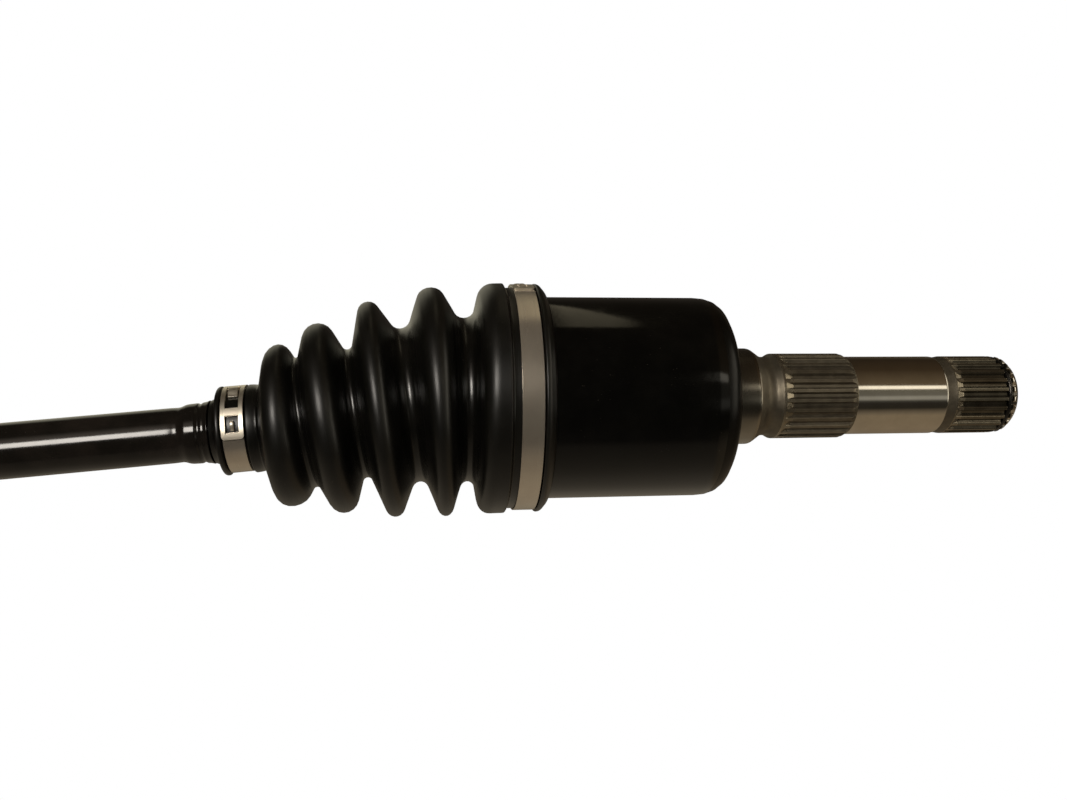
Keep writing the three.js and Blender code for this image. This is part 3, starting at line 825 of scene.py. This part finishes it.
def strip(name, start, end, width, inner, outer, windows, centre, placed, material, corner=0.0):
    """A strip from one elevation to another, with windows (low, high, half width) cut through.

    corner is the radius that rounds off the start's two corners.
    """
    half = width / 2
    first, last = math.radians(start), math.radians(end)
    reach = corner / outer
    extra = [math.radians(e) for low, high, _ in windows for e in (low, high)]
    if corner:
        extra += corner_lines(first, reach)
    along = grid_lines(first, last, math.radians(BAND_STEP), extra)
    across = grid_lines(-half, half, half / 4, [s for _, _, w in windows for s in (-w, w)])

    def squeezed(surface):
        def points(elevation, x):
            if not corner:
                return surface(elevation, x)
            inset = np.clip(1 - (elevation - first) / reach, 0, 1)
            lost = corner * (1 - np.sqrt(1 - inset**2))
            return surface(elevation, x * (half - lost) / half)

        return points

    piece = sheet(name, along, across, metal_cells(along, across, windows), squeezed(wrap(outer, centre)),
                  squeezed(wrap(inner, centre)), placed, material)
    bevelled(piece, BAND_EDGE)
    return piece


def hook(name, start, end, half, inner, low, high, centre, placed, material):
    """A tongue pressed up through a window: it rises from low to high and is rounded over."""
    first, last = math.radians(start), math.radians(end)
    along = np.linspace(first, last, HOOK_ROWS + 1)
    across = np.linspace(-half, half, HOOK_COLUMNS + 1)

    def radius(elevation, x):
        t = (elevation - first) / (last - first)
        crown = HOOK_CROWN * (1 - (x / half) ** 2)
        return (low + (high - low) * smooth(t * 1.6) + crown * smooth(t * 3)
                - HOOK_DROP * smooth(t * 5 - 4))

    solid = [[True] * HOOK_COLUMNS for _ in range(HOOK_ROWS)]
    piece = sheet(name, along, across, solid, wrap(radius, centre), wrap(inner, centre), placed, material)
    bevelled(piece, HOOK_EDGE)
    return piece


def build_clamp(prefix, body, placed, centre, width, seat, layer, start, end, windows, hooks):
    """A low-profile band clamp: a band, and its outer layer with windows over the hooks.

    windows are (low, high, half width) in the outer layer, and hooks are (start, end, half width, rise).
    """
    middle = seat + layer
    top = middle + layer
    shorter = [(low + WINDOW_LAP, high - WINDOW_LAP, w) for low, high, w in windows]
    pieces = [
        strip(f"{prefix}_band", start + BAND_START, start + BAND_END, width * BAND_SHARE, seat, middle,
              shorter, centre, placed, BAND),
        strip(f"{prefix}_tail", start, end, width, middle + LAYER_GAP, top + LAYER_GAP, windows, centre,
              placed, BAND_TAIL, corner=width * CORNER_SHARE),
    ]
    for i, (low, high, w, rise) in enumerate(hooks, 1):
        pieces.append(hook(f"{prefix}_hook_{i}", low, high, w, seat + HOOK_LIFT, middle, top + rise,
                           centre, placed, BAND_TAIL))
    stand_for(pieces, prefix, body)


SMALL_CLAMP = dict(
    width=7.3, layer=0.65, start=-11, end=118, windows=[(-2.6, 20, 2.2), (30, 76, 2.2)],
    hooks=[(0, 13, 0.6, 0.1), (52, 74, 1.6, 0.35)],
)
LARGE_CLAMP = dict(
    width=7.5, layer=0.55, start=68, end=128, windows=[(72, 80, 1.8), (86, 98, 1.8)],
    hooks=[(75.5, 79.6, 0.9, 0.3), (91, 97.4, 1.5, 1.1)],
)


def build_clamps():
    build_clamp("inner_boot_small_clamp", "shaft", SHAFT, -126.25, seat=14.0, **SMALL_CLAMP)
    build_clamp("inner_boot_large_clamp", "inner_housing", INNER, -28.45, seat=39.35, **LARGE_CLAMP)
    build_clamp("outer_boot_small_clamp", "shaft", SHAFT_OUTER_END, -107.45, seat=14.0, **SMALL_CLAMP)
    build_clamp("outer_boot_large_clamp", "outer_housing", OUTER, -11.9, seat=40.35, **LARGE_CLAMP)


# -------- shaft
SHAFT_RADIUS = 9.5
SHAFT_SIDES = 128
BAR_END = -16.4  # from the inner joint's centre
FAR_BAR_END = 15.9  # from the outer joint's centre
SHAFT_STEP = 1.0


def collar_outline(seat):
    """The raised, grooved collar beside a boot's cuff, from plain shaft to plain shaft."""
    return [
        (seat - 13.5, SHAFT_RADIUS, 1.2), (seat - 10.6, 9.35, 1.2), (seat - 8.6, 10.15, 1.0),
        (seat - 7.6, 10.3, 0.8), (seat - 4.6, 10.4, 0.4), (seat - 4.1, 10.05, 0.3),
        (seat - 3.3, 10.05, 0.3), (seat - 2.8, 10.5, 0.4), (seat - 1.6, 10.6, 0.5),
        (seat - 0.5, 11.0, 0.3), (seat - 0.35, SHAFT_RADIUS, 0),
    ]


def build_bar():
    start = -JOINT_SPACING + FAR_BAR_END
    far_collar = [(-JOINT_SPACING - x, r, e) for x, r, e in collar_outline(OUTER_CUFF[0][0])][::-1]
    outline = rounded(
        [(start, 0), (start, SHAFT_RADIUS)] + far_collar + collar_outline(INNER_CUFF[0][0])
        + [(BAR_END - 0.6, SHAFT_RADIUS, 0.3), (BAR_END, 9.2), (BAR_END, 0)])
    return turned("axle_shaft_bar", outline, SHAFT, [BAR_PAINT], even_angles(SHAFT_SIDES))


def build_shaft_spline(name, placed, root):
    """A splined head with a groove on each side of the race; root is the outline up to the race."""
    outline = np.vstack([root, rounded([
        (11.65, 9.95), (11.7, 8.8), (13.4, 8.8), (13.45, 9.95), (15.0, 9.95, 0.2),
        (16.0, 8.9, 0.2), (16.0, 0),
    ])])
    return splined(name, stations(outline, SHAFT_STEP), placed, [DULL], SHAFT_TEETH, start=-11.6,
                   run_out=0.1)


def build_shaft():
    grooved = [(-16.5, 0), (-16.5, 9.95), (-13.45, 9.95), (-13.4, 8.8), (-11.7, 8.8), (-11.65, 9.95)]
    shouldered = [(-16.0, 0), (-16.0, 11.6), (-12.4, 11.6), (-12.2, 9.95)]
    pieces = [
        build_bar(),
        build_shaft_spline("axle_shaft_inner_spline", SHAFT, grooved),
        build_shaft_spline("axle_shaft_outer_spline", SHAFT_OUTER_END, shouldered),
    ]
    stand_for(pieces, "axle_shaft", "shaft")


# -------- outer housing and spindle
SPINDLE_STEP = 0.4
THREAD_PITCH = 1.5
THREAD_DEPTH = 0.9
THREAD_FROM = 89.0
THREAD_TO = 111.6
CUT_ABOVE = 8.7  # the radius above which the thread is cut
THREAD_SHARP = 25
COTTER_HOLE_AT = 104.0
COTTER_HOLE_RADIUS = 2.0


def build_bell():
    """The bell, closed at the back by a spherical socket."""
    socket = [(x, math.sqrt(CUP_BORE**2 - x * x)) for x in np.linspace(22, -9, 14)]
    outline = rounded([
        (-16.0, 30.2, 0.6), (-16.0, 35.8, 0.8), (-15.0, 37.0, 0.6), (14.0, 37.0, 4.0), (24.0, 34.6, 6.0),
        (31.5, 28.5, 5.0), (34.6, 21.5, 2.0), (36.4, 20.0, 1.0), (39.6, 20.0, 0.5), (40.0, 19.4, 0.3),
        (40.0, 14.0), (22.0, 10.0),
    ] + socket)
    return turned("outer_housing_bell", outline, OUTER, [CUP_PAINT, TURNED_STEEL], even_angles(WIDE_SIDES),
                  closed=True, split=(36.6,))


def build_spindle_neck():
    outline = rounded([
        (39.5, 0), (39.5, 14.9), (44.2, 14.9, 0.5), (46.0, 13.5, 0.3), (46.1, 13.45), (46.1, 0),
    ])
    return turned("outer_spindle_neck", outline, OUTER, [TURNED_STEEL])


def build_spindle_spline():
    outline = rounded([
        (46.05, 0), (46.05, 13.5), (83.6, 13.5, 0.4), (84.8, 12.2, 0.3), (84.8, 0),
    ])
    return splined("outer_spindle_spline", stations(outline, SPINDLE_STEP), OUTER, [SPLINE], HUB_TEETH,
                   start=47.4)


def thread(x, r, theta):
    """Cuts a V thread that fades out at both ends."""
    turn = (x / THREAD_PITCH - theta / (2 * math.pi)) % 1
    depth = THREAD_DEPTH * (1 - np.abs(turn - 0.5) * 2)
    fade = smooth((x - THREAD_FROM) / THREAD_PITCH) * smooth(THREAD_TO - x)
    return np.where(r > CUT_ABOVE, r - depth * fade, r)


def drill_cotter_hole(stud):
    """Cuts the cotter pin's hole through the stud and leaves a plain mesh."""
    reach, radius = 14, COTTER_HOLE_RADIUS
    across = Matrix.Translation((COTTER_HOLE_AT * MM, 0, 0)) @ Matrix.Rotation(math.pi / 2, 4, "Y")
    hole = turned("cotter_hole", [(-reach, 0), (-reach, radius), (reach, radius), (reach, 0)],
                  OUTER @ across, [DULL], even_angles(32))
    drill = stud.modifiers.new("cotter_hole", "BOOLEAN")
    drill.object = hole
    drill.solver = "EXACT"
    bpy.context.view_layer.update()
    drilled = bpy.data.meshes.new_from_object(stud.evaluated_get(bpy.context.evaluated_depsgraph_get()))
    stud.modifiers.clear()
    stud.data = drilled
    stud.data.set_sharp_from_angle(angle=math.radians(THREAD_SHARP))
    bpy.data.objects.remove(hole)


def build_spindle_thread():
    outline = rounded([
        (84.7, 0), (84.7, 9.2, 0.3), (88.6, 9.2, 0.2), (89.4, 9.98, 0.2), (110.4, 9.98, 0.3),
        (112.0, 8.6, 0.3), (112.0, 3.0, 0.2), (110.4, 1.8), (108.4, 0),
    ])
    stud = turned("outer_spindle_thread", stations(outline, THREAD_PITCH / 6), OUTER, [DULL],
                  even_angles(96), shape=thread, sharp=THREAD_SHARP)
    drill_cotter_hole(stud)
    return stud


def build_outer_housing():
    pieces = [build_bell(), build_spindle_neck(), build_spindle_spline(), build_spindle_thread()]
    stand_for(pieces, "outer_joint_housing", "outer_housing")


# -------- inside the joints
BALL_SHRINK = 0.985  # keeps a ball clear of its grooves
BALL_SIDES = 48


def build_balls():
    radius = BALL_RADIUS * BALL_SHRINK
    arc = [(-radius * math.cos(t), radius * math.sin(t)) for t in np.linspace(0, math.pi, 25)]
    bodies = frame["record"]["behaviour"]["bodies"]
    for node in [n for n in frame["nodes"] if "_ball_" in n]:
        low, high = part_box(node)
        ball = turned(f"{node}_polished", arc, Matrix.Translation((low + high) / 2), [POLISHED],
                      even_angles(BALL_SIDES), sharp=80)
        body = next(b for b, members in bodies.items() if node in members)
        stand_for([ball], node, body)


def finish_cad_nodes():
    """The steel rings, races and cages that stay as CAD solids."""
    for name, obj in frame["nodes"].items():
        if obj.hide_render:
            continue
        spring = "ring" in name or "circlip" in name
        obj.data.materials.clear()
        obj.data.materials.append(SPRING if spring else HARD)


# -------- studio
# The light is a soft studio, given by direction. The lift is the angle about the x axis
# from the camera's side (0) over the top (90) to the far side, and the drift is how far along x a
# direction leans, as a tangent. The room changes from one set of tones to the other with the drift.
ROOM_MIDDLE = [
    (-180, (0.10, 0.085, 0.06)), (-137, (0.36, 0.31, 0.235)), (-104, (0.36, 0.305, 0.23)),
    (-87, (0.28, 0.235, 0.175)), (-64, (0.19, 0.16, 0.12)), (-57, (0.16, 0.135, 0.105)),
    (-50, (0.055, 0.048, 0.04)), (-30, (0.032, 0.029, 0.023)), (0, (0.03, 0.028, 0.023)),
    (40, (0.032, 0.027, 0.02)), (79, (0.036, 0.028, 0.02)), (130, (0.03, 0.024, 0.017)),
    (180, (0.06, 0.05, 0.04)),
]
ROOM_RIGHT = [
    (-180, (0.16, 0.13, 0.09)), (-120, (0.30, 0.23, 0.15)), (-64, (0.31, 0.24, 0.155)),
    (-55, (0.22, 0.175, 0.12)), (-46, (0.12, 0.095, 0.065)), (-40, (0.032, 0.028, 0.02)),
    (-24, (0.035, 0.03, 0.024)), (-18, (0.08, 0.075, 0.06)), (-12, (0.42, 0.40, 0.34)),
    (-6, (0.42, 0.40, 0.34)), (-1, (0.20, 0.185, 0.15)), (13, (0.19, 0.175, 0.135)),
    (32, (0.17, 0.125, 0.075)), (80, (0.06, 0.04, 0.022)), (130, (0.035, 0.024, 0.014)),
    (180, (0.12, 0.10, 0.07)),
]
ROOM_CHANGE = (0.38, 0.52)
ROOM_FADE = (0.7, 2.2)  # the drift over which the room darkens towards the ends of the axle
ENDS_DARKNESS = 0.75
# Each lamp: lift from and to, how fast the upper lift falls with the drift, drift from and to,
# softness in lift and drift, colour, strength.
LAMPS = [
    (9, 27, 0, -0.55, -0.21, 2.5, 0.05, (1.0, 0.94, 0.86), 22.0),
    (20, 45, 0, -0.60, -0.20, 12.0, 0.10, (1.0, 0.85, 0.70), 1.0),
    (17, 27, 0, 0.44, 0.78, 2.0, 0.05, (1.0, 0.93, 0.78), 1.7),
    (-28, 90, 0, 1.45, 3.40, 8.0, 0.20, (1.0, 0.92, 0.76), 2.0),
    (85, 164.6, 286, 0.12, 0.24, 1.5, 0.02, (0.80, 0.70, 0.48), 0.9),
    (132, 174, 0, -0.55, 0.0, 9.0, 0.10, (0.80, 0.76, 0.58), 0.80),
]


def lamp_mask(graph, lift, drift, lamp):
    """1 inside the lamp's patch of sky, falling off softly at its edges."""
    low, high, slant, left, right, soft, side_soft = lamp[:7]
    slanted = graph.math("ADD", lift, graph.times(drift, slant))
    edges = [
        graph.step(lift, low - soft, low + soft),
        graph.step(slanted, high + soft, high - soft),
        graph.step(drift, left - side_soft, left + side_soft),
        graph.step(drift, right + side_soft, right - side_soft),
    ]
    return functools.reduce(graph.times, edges)


def studio_light(graph):
    """The colour of the light from each direction."""
    direction = graph.node("SeparateXYZ")
    graph.link(graph.node("TexCoord").outputs["Generated"], direction.inputs[0])
    x, y, z = direction.outputs
    lift = graph.math("DEGREES", graph.math("ARCTAN2", z, graph.times(y, -1.0)))
    across = graph.math("SQRT", graph.math("ADD", graph.times(y, y), graph.times(z, z)))
    drift = graph.math("DIVIDE", x, graph.math("ADD", across, 0.001))
    middle = graph.ramp(lift, ROOM_MIDDLE)
    right = graph.ramp(lift, ROOM_RIGHT)
    room = graph.mixed(graph.step(drift, *ROOM_CHANGE), middle, right)
    fade = graph.step(graph.math("ABSOLUTE", drift), *ROOM_FADE)
    light = graph.mixed(graph.times(fade, ENDS_DARKNESS), room, (0.0, 0.0, 0.0))
    for lamp in LAMPS:
        color, strength = lamp[7:]
        glow = tuple(c * strength for c in color)
        light = graph.mixed(lamp_mask(graph, lift, drift, lamp), light, glow, blend="ADD")
    return light


def build_world():
    """White to the camera, and the studio to everything else."""
    world = bpy.data.worlds.new("studio")
    bpy.context.scene.world = world
    world.use_nodes = True
    world.node_tree.nodes.clear()
    graph = Graph(world.node_tree)
    room = graph.node("Background")
    graph.link(studio_light(graph), room.inputs["Color"])
    backdrop = graph.node("Background")
    backdrop.inputs["Color"].default_value = (1, 1, 1, 1)
    either = graph.node("MixShader")
    graph.link(graph.node("LightPath").outputs["Is Camera Ray"], either.inputs[0])
    graph.link(room.outputs[0], either.inputs[1])
    graph.link(backdrop.outputs[0], either.inputs[2])
    graph.link(either.outputs[0], graph.node("OutputWorld").inputs["Surface"])


FLOOR_HEIGHT = -0.26
FLOOR_REACH = 6.0


def build_floor():
    """A pale floor that only the camera sees, so that the studio lights the axle from below too."""
    reach = FLOOR_REACH
    corners = [(-reach, -reach), (reach, -reach), (reach, reach), (-reach, reach)]
    mesh = bpy.data.meshes.new("floor")
    mesh.from_pydata([(x, y, FLOOR_HEIGHT) for x, y in corners], [], [(0, 1, 2, 3)])
    floor = added("floor", mesh)
    material = bpy.data.materials.new("pale_floor")
    material.use_nodes = True
    material.node_tree.nodes.clear()
    graph = Graph(material.node_tree)
    pale = graph.node("Emission")
    pale.inputs["Color"].default_value = (1, 1, 1, 1)
    graph.link(pale.outputs[0], graph.node("OutputMaterial").inputs["Surface"])
    mesh.materials.append(material)
    floor.visible_glossy = False
    floor.visible_diffuse = False


SOFTBOX_PLACE = Vector((-0.2, -0.7, 0.9))  # from the inner joint's centre


def build_lights():
    """A large soft light overhead, for the matt surfaces."""
    lamp = bpy.data.lights.new("softbox", "AREA")
    lamp.shape = "RECTANGLE"
    lamp.size = 1.2
    lamp.size_y = 0.8
    lamp.energy = 3.5
    lamp.color = (1.0, 0.93, 0.82)
    obj = added("softbox", lamp)
    obj.location = INNER_CENTRE + SOFTBOX_PLACE
    obj.rotation_euler = (-SOFTBOX_PLACE).to_track_quat("-Z", "Y").to_euler()
    obj.visible_glossy = False


CAMERA_PLACE = Vector((-65.6, -334.5, -0.8)) * MM  # from the inner joint's centre
CAMERA_YAW = math.radians(7.15)
CAMERA_ROLL = math.radians(0.46)
LENS = 31.65
SENSOR_WIDTH = 36.0


def build_camera():
    """Level with the axle, a little to the left of the inner joint, and turned slightly right."""
    forward = Vector((math.sin(CAMERA_YAW), math.cos(CAMERA_YAW), 0))
    right = Vector((math.cos(CAMERA_YAW), -math.sin(CAMERA_YAW), 0))
    up = Vector((0, 0, 1))
    x_axis = right * math.cos(CAMERA_ROLL) - up * math.sin(CAMERA_ROLL)
    y_axis = up * math.cos(CAMERA_ROLL) + right * math.sin(CAMERA_ROLL)
    data = bpy.data.cameras.new("camera")
    data.sensor_fit = "HORIZONTAL"
    data.sensor_width = SENSOR_WIDTH
    data.lens = LENS
    data.clip_start = 0.01
    camera = added("camera", data)
    place = Matrix((x_axis, y_axis, -forward)).transposed().to_4x4()
    place.translation = INNER_CENTRE + CAMERA_PLACE
    camera.matrix_world = place
    bpy.context.scene.camera = camera


build_inner_housing()
build_snap_ring()
build_inner_boot()
build_outer_boot()
build_clamps()
build_shaft()
build_outer_housing()
build_balls()
finish_cad_nodes()
build_world()
build_floor()
build_lights()
build_camera()
bpy.context.scene.view_settings.view_transform = "Standard"
